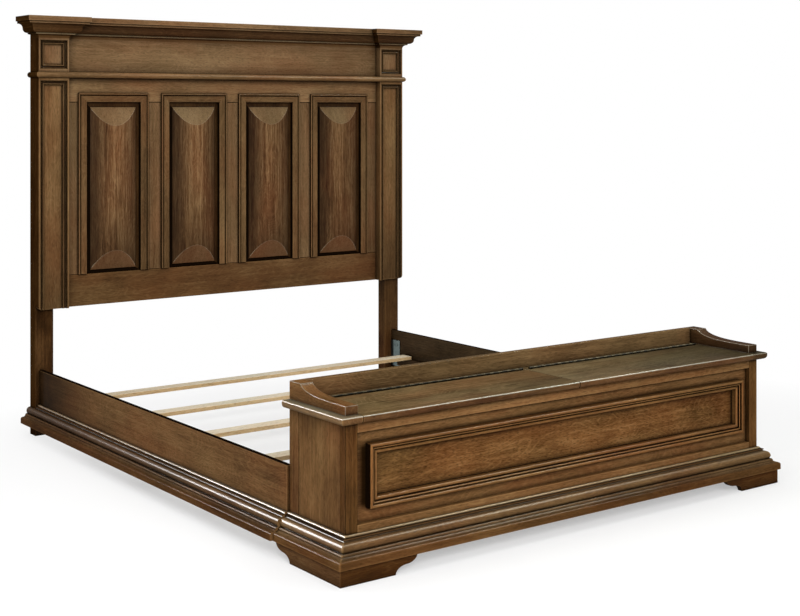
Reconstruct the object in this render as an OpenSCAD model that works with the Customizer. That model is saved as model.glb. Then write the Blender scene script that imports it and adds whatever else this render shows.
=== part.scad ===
// Panel storage bed: a tall panelled headboard, slatted side rails and a blanket bench at the foot.
// X runs across the bed, +Y points to the head end and Z is up.
// The origin is on the floor under the middle of the bed.

/* [Mattress space] */
// Clear width between the side rails
clear_w = 1940; // [1500:10:2000]
// Clear length from the headboard posts to the bench
clear_l = 2101; // [1950:1:2200]

/* [Headboard] */
// Height of the headboard
head_h = 1883; // [1600:1:2000]
// Height of the panelling's lower edge above the floor
head_gap = 567; // [400:1:620]
// Width of a post
post_w = 85; // [70:1:100]
// Thickness of a post
post_t = 60; // [52:1:80]
// Width of a pilaster
pilaster_w = 144; // [130:1:160]
// How far a pilaster stands proud of the panelling
pilaster_t = 40; // [34:1:50]
// Radius of a pilaster's lower outer corner
pilaster_round = 20; // [8:1:24]
// Margin round a pilaster's sunk panels
pilaster_margin = 7; // [4:1:12]
// Depth of a pilaster's sunk panels
pilaster_sink = 16; // [14:1:20]
// Height of the frieze between crown and astragal
frieze_h = 152; // [120:1:170]
// Height of the astragal
astragal_h = 26; // [20:1:26]
// How far the astragal stands past the pilasters
astragal_out = 14; // [14:1:20]
// Height of the top rail
top_rail_h = 110; // [95:1:130]
// Height of the bottom rail
bottom_rail_h = 145; // [100:1:170]
// Width of the outer stiles, partly covered by the pilasters
stile_w = 160; // [150:1:172]
// Width of the stiles between the panels
muntin_w = 150; // [130:1:170]
// Thickness of the rails and stiles
frame_t = 25; // [22:1:32]
// Thickness of the back board
back_t = 6; // [4:1:9]

/* [Crown] */
// Height of the crown moulding
crown_h = 95; // [95:1:110]
// How far the crown stands out
crown_out = 76; // [76:1:88]
// How far the crown's returns stop short of the posts' backs
crown_back = 20; // [2:1:30]
// Thickness of the board on top
cap_board_t = 18; // [12:1:24]

/* [Raised panels] */
// Width of the moulding round a panel
mould_w = 42; // [36:1:48]
// How far that moulding stands proud of the frame
mould_out = 12; // [10:1:14]
// Flat margin on both sides of the raised part
panel_margin = 20; // [14:1:26]
// Flat margin below the raised part
panel_low_margin = 16; // [10:1:24]
// Flat margin above the raised part
panel_top_margin = 23; // [12:1:30]
// How far the margins lie behind the frame's face
panel_set = 10; // [6:1:12]
// Height of the raised part's edge above the margins
panel_edge = 5; // [3:1:8]
// Height of the bow above that edge
panel_bow = 31; // [18:1:34]
// Length of the sloped cut at each end of the bow
panel_slope = 86; // [60:1:110]

/* [Side rails and slats] */
// Thickness of a side rail
rail_t = 20; // [18:1:26]
// How far a side rail lies inside the posts' outer faces
rail_inset = 20; // [18:1:24]
// Height of the side rails' upper edge above the floor
rail_top = 293; // [260:1:320]
// Width of a slat cleat
cleat_w = 25; // [18:1:32]
// Height of a slat cleat
cleat_h = 40; // [30:1:50]
// Distance from a cleat's ends to the posts and the bench
cleat_end = 80; // [76:1:84]
// Width of a slat
slat_w = 68; // [60:1:80]
// Thickness of a slat
slat_t = 17; // [14:1:22]
// Height of the slats' upper faces above the floor
slat_top = 177; // [165:1:185]
// Distance from the posts to the first slat's middle line
slat_first = 146; // [130:1:180]
// Distance from the last slat's middle line to the bench
slat_last = 83; // [82:1:150]
// Play between a slat's end and the rail
slat_play = 4; // [3.5:0.5:6]

/* [Rail hooks] */
// Height of a steel hook plate
plate_h = 135; // [120:1:150]
// Length of a hook plate on the rail
plate_l = 74; // [64:1:75]
// Thickness of the steel
plate_t = 3; // [2:0.5:3.5]
// Height of a plate's lower edge above the floor
plate_z = 108; // [100:1:130]
// Length of a hook in the post
hook_l = 20; // [14:1:24]
// Height of a hook
hook_h = 28; // [20:1:34]
// Clearance round a hook in its slot
hook_play = 0.4; // [0.3:0.1:0.8]
// Radius of a screw's shank
screw_r = 2.5; // [2:0.25:3]
// Radius of a screw's head
screw_head_r = 5; // [4:0.5:6]
// Height of a screw's head
screw_head_h = 2.5; // [1.5:0.5:3]
// How deep a screw reaches into the rail
screw_depth = 14; // [10:1:16]
// Clearance round a screw
screw_play = 0.1; // [0.05:0.05:0.3]

/* [Bench] */
// How far the bench's sides lie inside the rails' outer faces
bench_inset = 9.5; // [6:0.5:10]
// Depth of the bench's body
bench_d = 329; // [326:1:420]
// Height of the bench's top above the floor
bench_top = 512; // [470:1:560]
// Thickness of the lids and of the top's fixed pieces
top_t = 26; // [22:1:30]
// Width of a front post
bpost_w = 47; // [40:1:58]
// Depth of a front post
bpost_t = 31; // [29:1:37]
// Width of a back stile on the bench's side
bstile_w = 58; // [45:1:70]
// Thickness of a back stile
bstile_t = 30; // [26:1:36]
// Thickness of the side panels
side_t = 20; // [14:1:24]
// How far the side panels lie inside the posts' faces
side_set = 1; // [0.5:0.5:3]
// Thickness of the back, bottom and divider boards
board_t = 18; // [12:1:22]
// Height of the bottom board's underside above the feet
bottom_rise = 18; // [0:1:60]
// Gap between the divider and the lids
divider_gap = 6; // [2:1:20]
// Height of the front's upper band
band_h = 32; // [24:1:45]
// Height of the plain strip above the base moulding
strip_h = 23; // [15:1:35]
// How far the front frame lies behind the posts' faces
front_set = 18; // [14:1:20]
// Thickness of the front frame
front_t = 20; // [19:1:24]
// Height of the front frame's upper rail
front_top_h = 75; // [72:1:90]
// Height of the front frame's lower rail
front_low_h = 79; // [70:1:90]
// Width of the front frame's stiles
front_stile_w = 77; // [70:1:95]
// How far the front panel lies behind the front frame's face
front_panel_set = 7; // [4:1:7]
// Thickness of the front panel
front_panel_t = 12; // [8:1:12]
// Width of the moulding round the front panel
bolection_w = 34; // [32:1:38]
// Height of that moulding above the front frame's face
bolection_h = 30; // [26:1:34]

/* [Base moulding and feet] */
// Height of the feet
foot_h = 54; // [40:1:70]
// Height of the base moulding
base_h = 86; // [86:1:100]
// How far the base moulding stands out
base_out = 65; // [65:1:75]
// How far the feet's faces stand out
foot_out = 57; // [54:1:62]
// Thickness of a foot's two arms
foot_t = 22; // [16:1:28]
// Length of a foot on the floor along the front
foot_front = 212; // [160:1:260]
// Gap between a foot's side arm and the side rail
foot_side_gap = 6; // [4:1:80]
// Length of the curved end of a foot's arm
foot_curve = 86; // [60:1:87]
// Side of the square block behind a foot's corner
foot_block = 104; // [100:1:120]

/* [Bench top] */
// How far the top stands past the bench's sides
cap_side = 30; // [20:1:34]
// How far the top stands past the bench's front
cap_front = 28; // [22:1:34]
// Radius of the upper front edge of the top
nose_r = 6; // [3:1:7]
// Radius of the lower front edge of the top
under_r = 14; // [8:1:14]
// Width of the gallery's ends
end_w = 49; // [40:1:58]
// Thickness of the gallery's back board
gallery_t = 25; // [18:1:30]
// Height of the gallery's back board above the top
gallery_h = 61; // [50:1:80]
// Height of the gallery's ends at the front
gallery_front_h = 30; // [20:1:36]
// Length of the level stretch on the gallery's ends
gallery_flat = 68; // [50:1:90]
// Depth of the fixed board that the lids are hinged to
hinge_rail_d = 67; // [55:1:90]
// Gap between a lid and the fixed ends
lid_end_gap = 2; // [1:0.5:4]
// Gap between the two lids
lid_mid_gap = 3; // [2:0.5:5]
// Gap between a closed lid and the bench's body
lid_rest = 0.3; // [0.3:0.1:1]

/* [Piano hinges] */
// Radius of a hinge's knuckles
knuckle_r = 3.5; // [3:0.25:4.5]
// Length of one knuckle
knuckle_l = 20; // [16:1:30]
// Gap between two knuckles
knuckle_gap = 0.6; // [0.4:0.1:1]
// Radius of a hinge's pin
hinge_pin_r = 1.4; // [1:0.1:1.5]
// Clearance round the pin
pin_play = 0.08; // [0.05:0.01:0.1]
// Thickness of a hinge's leaves
leaf_t = 1.2; // [0.8:0.1:1.4]
// Gap between the leaves of a closed hinge
leaf_gap = 0.8; // [0.7:0.1:1]
// Height of a hinge's leaves
leaf_h = 20; // [14:1:21]
// Clearance between knuckles and wood
knuckle_play = 0.4; // [0.3:0.1:0.6]

/* [Hidden] */
$fn = 48;

wood = "#6f4e30";
dark_wood = "#5a3d25";
pale_wood = "#cdae82";
steel = "#8d969c";
brass = "#8a7346";

panel_count = 4;
slat_count = 5;

// Overlap of a cutting solid past the face that it cuts
eps = 1;

// Widths across the bed, measured from its middle plane
rail_in = clear_w / 2;
rail_outer = rail_in + rail_t;
post_outer = rail_outer + rail_inset;
post_inner = post_outer - post_w;
pilaster_inner = post_outer - pilaster_w;
bench_half = rail_outer - bench_inset;

// Lengths along the bed, whose whole length is centred on the origin
total_l = post_t + clear_l + bench_d + base_out;
head_back = total_l / 2;
head_y = head_back - post_t;
bench_back = head_y - clear_l;
bench_front = bench_back - bench_d;

// Heights in the headboard
frieze_z = head_h - crown_h - frieze_h;
astragal_z = frieze_z - astragal_h;
field_top = astragal_z - top_rail_h;
field_bottom = head_gap + bottom_rail_h;
cap_board_z = head_h - cap_board_t;

// Openings of the headboard's frame
opening_w = (2 * post_inner - 2 * stile_w - (panel_count - 1) * muntin_w) / panel_count;
opening_pitch = opening_w + muntin_w;
function opening_x(i) = (i - (panel_count - 1) / 2) * opening_pitch;

// Sunk panels of a pilaster
sunk_w = pilaster_w - 2 * pilaster_margin;
sunk_face = head_y - pilaster_t + pilaster_sink;
shaft_sunk_top = astragal_z - 12;
block_sunk_low = frieze_z + 13;
block_sunk_h = frieze_h - 21;
sunk_moulding_w = 23;

// Heights and depths in the bench
base_top = foot_h + base_h;
carcass_top = bench_top - top_t;
strip_top = base_top + strip_h;
band_bottom = carcass_top - band_h;
front_open_low = strip_top + front_low_h;
front_open_top = band_bottom - front_top_h;
bpost_inner = bench_half - bpost_w;
front_open_half = bpost_inner - front_stile_w;
frame_face = bench_front + front_set;
frame_back = frame_face + front_t;
side_outer = bench_half - side_set;
side_inner = side_outer - side_t;
bottom_top = foot_h + bottom_rise + board_t;
cap_inner = bench_half - end_w;
cap_depth = bench_d + cap_front;
foot_side = bench_d + foot_out - foot_curve - foot_side_gap;

// The hinge's axis lies just above the joint between the fixed board and the lids
rail_edge = bench_back - hinge_rail_d;
joint_w = 2 * leaf_t + leaf_gap;
lid_back = rail_edge - joint_w;
hinge_y = rail_edge - joint_w / 2;
hinge_z = bench_top + knuckle_r + knuckle_play;
leaf_top = bench_top - knuckle_play;
lid_inner = lid_mid_gap / 2;
lid_outer = cap_inner - lid_end_gap;
lid_l = lid_outer - lid_inner;
knuckle_count = 2 * floor((lid_l / knuckle_l - 1) / 2) + 1;
hinge_l = knuckle_count * knuckle_l;
hinge_x = (lid_inner + lid_outer - hinge_l) / 2;

slat_pitch = (clear_l - slat_first - slat_last) / (slat_count - 1);
function slat_y(i) = head_y - slat_first - i * slat_pitch;

// Points on an arc from angle a0 to angle a1
function arc(cx, cy, r, a0, a1, n = 8) =
    [for (i = [0:n]) let (a = a0 + (a1 - a0) * i / n) [cx + r * cos(a), cy + r * sin(a)]];

// A board given by its lowest corner and its three sizes
module board(x, y, z, w, d, h) {
    translate([x, y, z]) cube([w, d, h]);
}

// The mirror image on the bed's left side
module left() {
    mirror([1, 0, 0]) children();
}

module both_sides() {
    children();
    left() children();
}

// MOULDINGS

// A length of wall moulding along +X that faces -Y. Its profile runs out from the wall and up.
// k0 and k1 are the mitres at its start and end: 1 outside, -1 inside, 0 square.
module moulding_run(l, reach, low, high, k0 = 0, k1 = 0) {
    far = reach + eps;
    intersection() {
        translate([l + 2 * reach, 0, 0]) rotate([90, 0, -90])
            linear_extrude(l + 4 * reach) children();
        translate([0, 0, low - eps]) linear_extrude(high - low + 2 * eps)
            polygon([[k0 * eps, eps], [l - k1 * eps, eps],
                     [l + k1 * far, -far], [-k0 * far, -far]]);
    }
}

// One side of a flat moulding frame, along +X with its profile running up and out along -Y
module frame_side(l, width, height, k0, k1) {
    intersection() {
        translate([l, 0, 0]) rotate([90, 0, -90])
            linear_extrude(l) mirror([1, -1]) children();
        translate([0, eps, 0]) rotate([90, 0, 0]) linear_extrude(height + 2 * eps)
            polygon([[0, 0], [l, 0], [l - k1 * width, width], [k0 * width, width]]);
    }
}

// A frame of flat moulding with mitred corners, facing -Y, given by its outer edges.
// Without its lower side its two legs end square.
module moulding_frame(x0, x1, z0, z1, width, height, closed) {
    k = closed ? 1 : 0;
    w = x1 - x0;
    h = z1 - z0;
    if (closed)
        translate([x0, 0, z0]) frame_side(w, width, height, 1, 1) children();
    translate([x1, 0, z0]) rotate([0, -90, 0]) frame_side(h, width, height, k, 1) children();
    translate([x1, 0, z1]) rotate([0, 180, 0]) frame_side(w, width, height, 1, 1) children();
    translate([x0, 0, z1]) rotate([0, 90, 0]) frame_side(h, width, height, 1, k) children();
}

// Crown profile: fascia, fillet, cyma, fillet and a small cove, from the top down
module crown_profile() {
    r = 20;
    cove_r = 17;
    more = crown_out - 76;
    mid = crown_h - 43;
    polygon(concat(
        [[0, 0], [crown_out, 0], [crown_out, 30 - mid], [69 + more, 30 - mid]],
        [[69 + more, r - mid]],
        arc(64 + more, -mid, r, 90, 180),
        arc(24 + more, -mid, r, -11.25, -90, 7),
        [[20 + more, -mid - r], [20 + more, -mid - 26]],
        arc(cove_r + more, -crown_h, cove_r, 90, 180),
        more > 0 ? [[0, -crown_h]] : []
    ));
}

// Base profile: bead, fillet, two rolls, scoop and a rounded plinth, from the top down.
// Its heights start at the plinth's underside.
module base_profile() {
    more = base_out - 65;
    polygon(concat(
        [[0, 0], [0, base_h]],
        arc(4 + more, base_h - 6, 6, 90, 0, 5),
        [[10 + more, base_h - 7.5], [19 + more, base_h - 7.5], [19 + more, base_h - 11]],
        arc(21 + more, base_h - 11, 5, 180, 270, 4),
        arc(21 + more, base_h - 33, 17, 80, -38, 9),
        arc(35.5 + more, base_h - 52.5, 8.5, 95, -5, 8),
        arc(56 + more, base_h - 45, 14, 222, 270, 5),
        arc(base_out - 8, base_h - 67, 8, 90, 0, 5),
        [[base_out, 0]]
    ));
}

// Profile round a raised panel: bead, quirk and flat band, from its outer edge inward
module panel_profile() {
    bead_r = 4.5;
    band = mould_out - 3;
    polygon(concat(
        [[0, 0]],
        arc(bead_r, mould_out - bead_r, bead_r, 180, 0, 8),
        [[2 * bead_r, band - 3], [2 * bead_r + 3, band - 3], [2 * bead_r + 3, band]],
        arc(mould_w - 4, band - 4, 4, 90, 0, 4),
        [[mould_w, 0]]
    ));
}

// Profile in a pilaster's sunk panels: step, cove, bead and fillet, from its outer edge inward
module sunk_profile() {
    rise = pilaster_sink - 2.5;
    polygon(concat(
        [[0, 0], [0, rise]],
        arc(12, rise, 9, 180, 265, 6),
        arc(16, rise - 8, 3.5, 165, 0, 6),
        [[20, rise - 10], [sunk_moulding_w, rise - 10], [sunk_moulding_w, 0]]
    ));
}

// Profile round the bench's front panel: three ridges that step down, from its outer edge inward
module bolection_profile() {
    w = bolection_w;
    h = bolection_h;
    outer_r = 0.16 * w;
    middle_r = 0.09 * w;
    inner_r = 0.19 * w;
    polygon(concat(
        [[0, 0]],
        arc(outer_r, h - outer_r, outer_r, 180, 0, 8),
        [[0.32 * w, 0.66 * h]],
        arc(0.47 * w, 0.66 * h, middle_r, 180, 0, 6),
        [[0.56 * w, 0.42 * h]],
        arc(w - inner_r, 0.42 * h, inner_r, 180, 0, 8),
        [[w, 0]]
    ));
}

// HEADBOARD

// Two hooks of a right-hand rail at y, pointing up the bed when into is 1 and down it when -1
module hooks(y, into, play) {
    y0 = into > 0 ? y : y - hook_l;
    for (z = [plate_z + 18, plate_z + plate_h - 18 - hook_h])
        board(rail_in - plate_t - play, y0 - play, z - play,
              plate_t + 2 * play, hook_l + 2 * play, hook_h + 2 * play);
}

module post() {
    difference() {
        board(post_inner, head_y, 0, post_w, post_t, cap_board_z);
        hooks(head_y, 1, hook_play);
    }
}

// Cuts the lower outer corner of the right pilaster round
module corner_cut() {
    r = pilaster_round;
    translate([post_outer - r, head_y + eps, head_gap + r]) rotate([90, 0, 0])
        linear_extrude(pilaster_t + 2 * eps) difference() {
            translate([0, -r - eps]) square(r + eps);
            circle(r = r);
        }
}

// A shaft below the astragal and a block above it, both with a sunk panel
module pilaster() {
    face = head_y - pilaster_t;
    sunk_x = pilaster_inner + pilaster_margin;
    difference() {
        board(pilaster_inner, face, head_gap, pilaster_w, pilaster_t, astragal_z - head_gap);
        board(sunk_x, face - eps, head_gap - eps,
              sunk_w, pilaster_sink + eps, shaft_sunk_top - head_gap + eps);
        corner_cut();
    }
    difference() {
        board(pilaster_inner, face, frieze_z, pilaster_w, pilaster_t, cap_board_z - frieze_z);
        board(sunk_x, face - eps, block_sunk_low, sunk_w, pilaster_sink + eps, block_sunk_h);
    }
}

module pilaster_moulding() {
    x0 = pilaster_inner + pilaster_margin;
    x1 = x0 + sunk_w;
    difference() {
        translate([0, sunk_face, 0])
            moulding_frame(x0, x1, head_gap, shaft_sunk_top,
                           sunk_moulding_w, pilaster_sink, false) sunk_profile();
        corner_cut();
    }
    translate([0, sunk_face, 0])
        moulding_frame(x0, x1, block_sunk_low, block_sunk_low + block_sunk_h,
                       sunk_moulding_w, pilaster_sink, true) sunk_profile();
}

module crown_run(l, k0, k1) {
    moulding_run(l, crown_out, -crown_h, 0, k0, k1) crown_profile();
}

// The crown's right block: outer return, front and inner return
module crown_block() {
    face = head_y - pilaster_t;
    back_l = pilaster_t + post_t - crown_back;
    translate([post_outer, face, head_h]) rotate(90) crown_run(back_l, 1, 0);
    translate([pilaster_inner, face, head_h]) crown_run(pilaster_w, 1, 1);
    translate([pilaster_inner, head_y, head_h]) rotate(-90) crown_run(pilaster_t, -1, 1);
}

// A half-round edge on a straight board, seen from its end
module astragal_nose() {
    r = astragal_h / 2;
    polygon(concat([[0, 0]], arc(astragal_out - r, r, r, -90, 90, 10), [[0, astragal_h]]));
}

module astragal_run(l, k0, k1) {
    moulding_run(l, astragal_out, 0, astragal_h, k0, k1) astragal_nose();
}

// One straight board across the headboard, notched round both posts
module astragal_board() {
    face = head_y - pilaster_t;
    side_l = pilaster_t + post_t;
    board(-post_outer, face, astragal_z, 2 * post_outer, pilaster_t, astragal_h);
    board(-post_inner, head_y, astragal_z, 2 * post_inner, frame_t, astragal_h);
    translate([-post_outer, face, astragal_z]) astragal_run(2 * post_outer, 1, 1);
    both_sides() translate([post_outer, face, astragal_z]) rotate(90)
        astragal_run(side_l, 1, 0);
}

// Flat field with a bowed raised part whose two ends are cut to a slope
module raised_panel(i) {
    x = opening_x(i);
    w = opening_w - 2 * panel_margin;
    bow_r = (w * w / 4 + panel_bow * panel_bow) / (2 * panel_bow);
    margin_y = head_y + panel_set;
    edge_y = margin_y - panel_edge;
    crest_y = edge_y - panel_bow;
    past_y = crest_y - 4;
    past_z = panel_slope * (panel_bow + 4) / panel_bow;
    z0 = field_bottom + panel_low_margin;
    z1 = field_top - panel_top_margin;
    in_y = margin_y + eps;
    board(x - opening_w / 2, margin_y, field_bottom,
          opening_w, frame_t - panel_set, field_top - field_bottom);
    intersection() {
        board(x - w / 2, past_y, z0 - eps, w, in_y - past_y, z1 - z0 + 2 * eps);
        translate([x, crest_y + bow_r, z0 - eps])
            cylinder(r = bow_r, h = z1 - z0 + 2 * eps, $fn = 240);
        translate([x - w, 0, 0]) rotate([90, 0, 90]) linear_extrude(2 * w)
            polygon([[in_y, z0], [edge_y, z0], [past_y, z0 + past_z],
                     [past_y, z1 - past_z], [edge_y, z1], [in_y, z1]]);
    }
}

module headboard_post_left() color(wood) left() post();
module headboard_post_right() color(wood) post();
module pilaster_left() color(wood) left() pilaster();
module pilaster_right() color(wood) pilaster();
module pilaster_moulding_left() color(dark_wood) left() pilaster_moulding();
module pilaster_moulding_right() color(dark_wood) pilaster_moulding();
module crown_left() color(dark_wood) left() crown_block();
module crown_right() color(dark_wood) crown_block();
module astragal() color(wood) astragal_board();
module raised_panel_1() color(wood) raised_panel(0);
module raised_panel_2() color(wood) raised_panel(1);
module raised_panel_3() color(wood) raised_panel(2);
module raised_panel_4() color(wood) raised_panel(3);

module frieze_board() {
    color(wood) board(-post_inner, head_y, frieze_z,
                      2 * post_inner, frame_t, cap_board_z - frieze_z);
}

module crown_center() {
    color(dark_wood) translate([-pilaster_inner, head_y, head_h])
        crown_run(2 * pilaster_inner, -1, -1);
}

module crown_cap_board() {
    color(wood) {
        board(-post_outer, head_y, cap_board_z, 2 * post_outer, post_t, cap_board_t);
        both_sides() board(pilaster_inner, head_y - pilaster_t, cap_board_z,
                           pilaster_w, pilaster_t, cap_board_t);
    }
}

module headboard_top_rail() {
    color(wood) board(-post_inner, head_y, field_top, 2 * post_inner, frame_t, top_rail_h);
}

module headboard_bottom_rail() {
    color(wood) board(-post_inner, head_y, head_gap, 2 * post_inner, frame_t, bottom_rail_h);
}

module headboard_stiles() {
    h = field_top - field_bottom;
    color(wood) {
        both_sides() board(post_inner - stile_w, head_y, field_bottom, stile_w, frame_t, h);
        for (i = [1:panel_count - 1])
            board(opening_x(i) - opening_w / 2 - muntin_w, head_y, field_bottom,
                  muntin_w, frame_t, h);
    }
}

module panel_mouldings() {
    half = opening_w / 2 + mould_w;
    color(dark_wood) for (i = [0:panel_count - 1])
        translate([0, head_y, 0])
            moulding_frame(opening_x(i) - half, opening_x(i) + half,
                           field_bottom, field_top + mould_w, mould_w, mould_out, false)
                panel_profile();
}

module headboard_back() {
    color(wood) board(-post_inner, head_y + frame_t, head_gap,
                      2 * post_inner, back_t, cap_board_z - head_gap);
}

// SIDE RAILS AND SLATS

// Places its children at the four screws of one hook plate
module at_screws(y, into) {
    for (dy = [20, plate_l - 20])
        for (z = [plate_z + 22, plate_z + plate_h - 22])
            translate([rail_in, y - into * dy, z]) rotate([0, 90, 0]) children();
}

module at_both_ends() {
    at_screws(head_y, 1) children();
    at_screws(bench_back, -1) children();
}

module screw_hole() {
    translate([0, 0, -plate_t - eps])
        cylinder(r = screw_r + screw_play, h = plate_t + eps + screw_depth + 1);
}

module side_rail() {
    difference() {
        board(rail_in, bench_back, foot_h, rail_t, clear_l, rail_top - foot_h);
        at_both_ends() screw_hole();
    }
}

// The base profile on the rail's outer face, cut away round the headboard post
module rail_moulding() {
    difference() {
        translate([rail_outer, bench_back, foot_h]) rotate(90)
            moulding_run(clear_l + post_t, base_out, 0, base_h) base_profile();
        board(post_inner, head_y, 0, post_w, post_t + eps, head_h);
    }
}

module hook_plate(y, into) {
    difference() {
        board(rail_in - plate_t, into > 0 ? y - plate_l : y, plate_z,
              plate_t, plate_l, plate_h);
        at_screws(y, into) screw_hole();
    }
    hooks(y, into, 0);
}

module plate_screw() {
    translate([0, 0, -plate_t - screw_head_h]) cylinder(r = screw_head_r, h = screw_head_h);
    translate([0, 0, -plate_t - screw_head_h / 2])
        cylinder(r = screw_r, h = screw_head_h / 2 + plate_t + screw_depth);
}

module slat(i) {
    half = rail_in - slat_play;
    board(-half, slat_y(i) - slat_w / 2, slat_top - slat_t, 2 * half, slat_w, slat_t);
}

module side_rail_left() color(wood) left() side_rail();
module side_rail_right() color(wood) side_rail();
module rail_moulding_left() color(dark_wood) left() rail_moulding();
module rail_moulding_right() color(dark_wood) rail_moulding();
module slat_1() color(pale_wood) slat(0);
module slat_2() color(pale_wood) slat(1);
module slat_3() color(pale_wood) slat(2);
module slat_4() color(pale_wood) slat(3);
module slat_5() color(pale_wood) slat(4);

module slat_cleats() {
    color(wood) both_sides()
        board(rail_in - cleat_w, bench_back + cleat_end, slat_top - slat_t - cleat_h,
              cleat_w, clear_l - 2 * cleat_end, cleat_h);
}

module rail_hook_plates() {
    color(steel) both_sides() {
        hook_plate(head_y, 1);
        hook_plate(bench_back, -1);
    }
}

module hook_plate_screws() {
    color(steel) both_sides() at_both_ends() plate_screw();
}

// BENCH

module bench_post() {
    board(bpost_inner, bench_front, foot_h, bpost_w, bpost_t, carcass_top - foot_h);
}

// Section of a board with a rounded nose, d deep and t thick
module nose_section(d, t) {
    polygon(concat(
        [[0, 0]],
        arc(d - under_r, under_r, under_r, -90, 0, 6),
        arc(d - nose_r, t - nose_r, nose_r, 0, 90, 5),
        [[0, t]]
    ));
}

// A board from x0 to x1 whose front edge is nosed; y0 is its back
module nosed_board(x0, x1, y0, z, d, t) {
    translate([x1, y0, z]) rotate([90, 0, -90])
        linear_extrude(x1 - x0) nose_section(d, t);
}

// The fixed right end of the top, nosed in front and at its outer end
module end_cap() {
    w = end_w + cap_side;
    intersection() {
        nosed_board(cap_inner, cap_inner + w, bench_back, carcass_top, cap_depth, top_t);
        translate([cap_inner, bench_back, carcass_top]) rotate([90, 0, 0])
            linear_extrude(cap_depth) nose_section(w, top_t);
    }
}

// Side view of a gallery end: level stretch, crisp shoulder and a hollow sweep that levels out
module gallery_side() {
    sweep_l = bench_d - gallery_flat;
    fall = gallery_h - gallery_front_h;
    steps = 16;
    polygon(concat(
        [[0, 0], [0, gallery_h]],
        [for (i = [0:steps]) let (t = pow(i / steps, 2))
            [gallery_flat + t * sweep_l,
             gallery_front_h + fall * (1 - pow(1 - pow(1 - t, 4), 0.56))]],
        [[bench_d, 0]]
    ));
}

module gallery_end() {
    translate([bench_half, bench_back, bench_top]) rotate([90, 0, -90])
        linear_extrude(end_w) gallery_side();
}

// Side view of a foot's arm that is l long on the floor: two quarter ellipses end it
module foot_side_view(l) {
    half = foot_curve / 2;
    mid = foot_h / 2;
    polygon(concat(
        [[0, foot_h], [0, 0]],
        [for (a = [90:-15:0]) [l + half - half * sin(a), mid * cos(a)]],
        [for (a = [75:-15:0]) [l + half + half * cos(a), foot_h - mid * sin(a)]]
    ));
}

// A bracket foot: a front arm, a side arm and a block behind their corner
module foot() {
    out_x = bench_half + foot_out;
    out_y = bench_front - foot_out;
    translate([out_x, out_y + foot_t, 0]) rotate([90, 0, 0])
        linear_extrude(foot_t) mirror([1, 0]) foot_side_view(foot_front);
    translate([out_x - foot_t, out_y, 0]) rotate([90, 0, 90])
        linear_extrude(foot_t) foot_side_view(foot_side);
    board(out_x - foot_block, out_y, 0, foot_block, foot_block, foot_h);
}

module base_run(l, k0, k1) {
    moulding_run(l, base_out, 0, base_h, k0, k1) base_profile();
}

module side_base() {
    translate([bench_half, bench_front, foot_h]) rotate(90) base_run(bench_d, 1, 0);
}

module lid() {
    nosed_board(lid_inner, lid_outer, lid_back, carcass_top + lid_rest,
                bench_d - hinge_rail_d - joint_w + cap_front, top_t - lid_rest);
}

// One leaf with its knuckles: side is 1 for the fixed leaf and -1 for the lid's
module hinge_half(side) {
    plate_y = side > 0 ? hinge_y + leaf_gap / 2 : hinge_y - leaf_gap / 2 - leaf_t;
    first = side > 0 ? 0 : 1;
    l = knuckle_l - knuckle_gap;
    web_h = knuckle_r + 2 * knuckle_play - hinge_pin_r - 0.5;
    difference() {
        union() {
            board(hinge_x, plate_y, leaf_top - leaf_h, hinge_l, leaf_t, leaf_h);
            for (i = [first:2:knuckle_count - 1]) {
                x = hinge_x + i * knuckle_l + knuckle_gap / 2;
                translate([x, hinge_y, hinge_z]) rotate([0, 90, 0])
                    cylinder(r = knuckle_r, h = l, $fn = 24);
                board(x, plate_y, leaf_top - eps, l, leaf_t, web_h + eps);
            }
        }
        translate([hinge_x - eps, hinge_y, hinge_z]) rotate([0, 90, 0])
            cylinder(r = hinge_pin_r + pin_play, h = hinge_l + 2 * eps, $fn = 24);
    }
}

// A pin with a small head against each outermost knuckle
module hinge_pin() {
    head_t = 0.8;
    x0 = hinge_x + knuckle_gap / 2;
    l = hinge_l - knuckle_gap;
    translate([x0 - head_t, hinge_y, hinge_z]) rotate([0, 90, 0]) {
        cylinder(r = hinge_pin_r, h = l + 2 * head_t, $fn = 24);
        cylinder(r = knuckle_r - 0.8, h = head_t, $fn = 24);
        translate([0, 0, l + head_t]) cylinder(r = knuckle_r - 0.8, h = head_t, $fn = 24);
    }
}

module bench_post_left() color(wood) left() bench_post();
module bench_post_right() color(wood) bench_post();
module base_moulding_left() color(dark_wood) left() side_base();
module base_moulding_right() color(dark_wood) side_base();
module foot_left() color(dark_wood) left() foot();
module foot_right() color(dark_wood) foot();
module end_cap_left() color(wood) left() end_cap();
module end_cap_right() color(wood) end_cap();
module gallery_ends() color(wood) both_sides() gallery_end();
module lid_left() color(wood) left() lid();
module lid_right() color(wood) lid();
module hinge_fixed_leaves() color(brass) both_sides() hinge_half(1);
module hinge_leaf_left() color(brass) left() hinge_half(-1);
module hinge_leaf_right() color(brass) hinge_half(-1);
module hinge_pins() color(brass) both_sides() hinge_pin();

module bench_side_panels() {
    d = bench_d - bstile_w - bpost_t;
    color(wood) both_sides()
        board(side_inner, bench_front + bpost_t, foot_h, side_t, d, carcass_top - foot_h);
}

module bench_back_stiles() {
    color(wood) both_sides() difference() {
        board(bench_half - bstile_t, bench_back - bstile_w, foot_h,
              bstile_t, bstile_w, carcass_top - foot_h);
        hooks(bench_back, -1, hook_play);
    }
}

module bench_back_panel() {
    half = bench_half - bstile_t;
    color(wood) board(-half, bench_back - board_t, foot_h,
                      2 * half, board_t, carcass_top - foot_h);
}

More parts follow.
